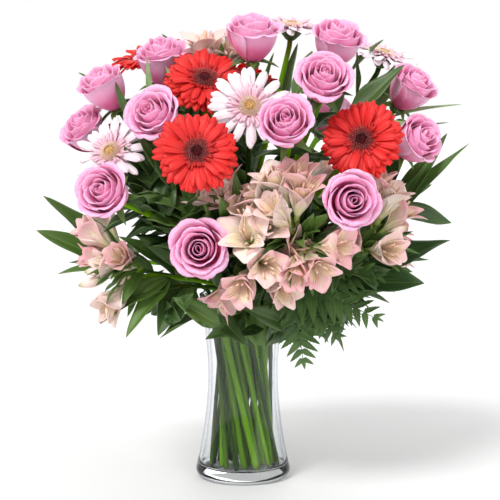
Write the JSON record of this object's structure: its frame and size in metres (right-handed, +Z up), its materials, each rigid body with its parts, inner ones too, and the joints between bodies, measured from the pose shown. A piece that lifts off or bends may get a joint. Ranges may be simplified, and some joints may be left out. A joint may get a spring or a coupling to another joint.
{
  "type": "mixed gerbera and rose bouquet in a glass vase",
  "caption": "Rounded bouquet of gerberas, roses and alstroemeria with mixed leaves, its stems crossing in a spiral inside a clear waisted glass vase that flares at the foot and the rim.",
  "frame": {"origin": "centre of the face that the vase stands on", "axes": "+Z up along the vase's axis, -Y towards the front of the bouquet, +X to the viewer's right"},
  "size_m": [0.4803, 0.4171, 0.5119],
  "materials": {
    "vase_glass": "clear polished",
    "rose_petal": "matte",
    "gerbera_red": "matte",
    "gerbera_pale": "matte",
    "alstroemeria_petal": "matte",
    "stem_green": "satin",
    "leaf_green": "satin"
  },
  "bodies": {
    "root": {"vase": "vase_glass", "rose_01_bloom": "rose_petal", "rose_01_stem": "stem_green", "rose_02_bloom": "rose_petal", "rose_02_stem": "stem_green", "rose_03_bloom": "rose_petal", "rose_03_stem": "stem_green", "rose_04_bloom": "rose_petal", "rose_04_stem": "stem_green", "rose_05_bloom": "rose_petal", "rose_05_stem": "stem_green", "rose_06_bloom": "rose_petal", "rose_06_stem": "stem_green", "rose_07_bloom": "rose_petal", "rose_07_stem": "stem_green", "rose_08_bloom": "rose_petal", "rose_08_stem": "stem_green", "rose_09_bloom": "rose_petal", "rose_09_stem": "stem_green", "rose_10_bloom": "rose_petal", "rose_10_stem": "stem_green", "rose_11_bloom": "rose_petal", "rose_11_stem": "stem_green", "rose_12_bloom": "rose_petal", "rose_12_stem": "stem_green", "rose_13_bloom": "rose_petal", "rose_13_stem": "stem_green", "rose_14_bloom": "rose_petal", "rose_14_stem": "stem_green", "rose_15_bloom": "rose_petal", "rose_15_stem": "stem_green", "red_gerbera_01_bloom": "gerbera_red", "red_gerbera_01_stem": "stem_green", "red_gerbera_02_bloom": "gerbera_red", "red_gerbera_02_stem": "stem_green", "red_gerbera_03_bloom": "gerbera_red", "red_gerbera_03_stem": "stem_green", "red_gerbera_04_bloom": "gerbera_red", "red_gerbera_04_stem": "stem_green", "red_gerbera_05_bloom": "gerbera_red", "red_gerbera_05_stem": "stem_green", "pale_gerbera_01_bloom": "gerbera_pale", "pale_gerbera_01_stem": "stem_green", "pale_gerbera_02_bloom": "gerbera_pale", "pale_gerbera_02_stem": "stem_green", "pale_gerbera_03_bloom": "gerbera_pale", "pale_gerbera_03_stem": "stem_green", "pale_gerbera_04_bloom": "gerbera_pale", "pale_gerbera_04_stem": "stem_green", "alstroemeria_1": "alstroemeria_petal", "alstroemeria_2": "alstroemeria_petal", "alstroemeria_3": "alstroemeria_petal", "alstroemeria_4": "alstroemeria_petal", "alstroemeria_5": "alstroemeria_petal", "ruscus_left": "leaf_green", "ruscus_low": "leaf_green", "ruscus_high": "leaf_green", "salal_right": "leaf_green", "fern_front": "leaf_green", "ruscus_back": "leaf_green"}
  },
  "joints": []
}
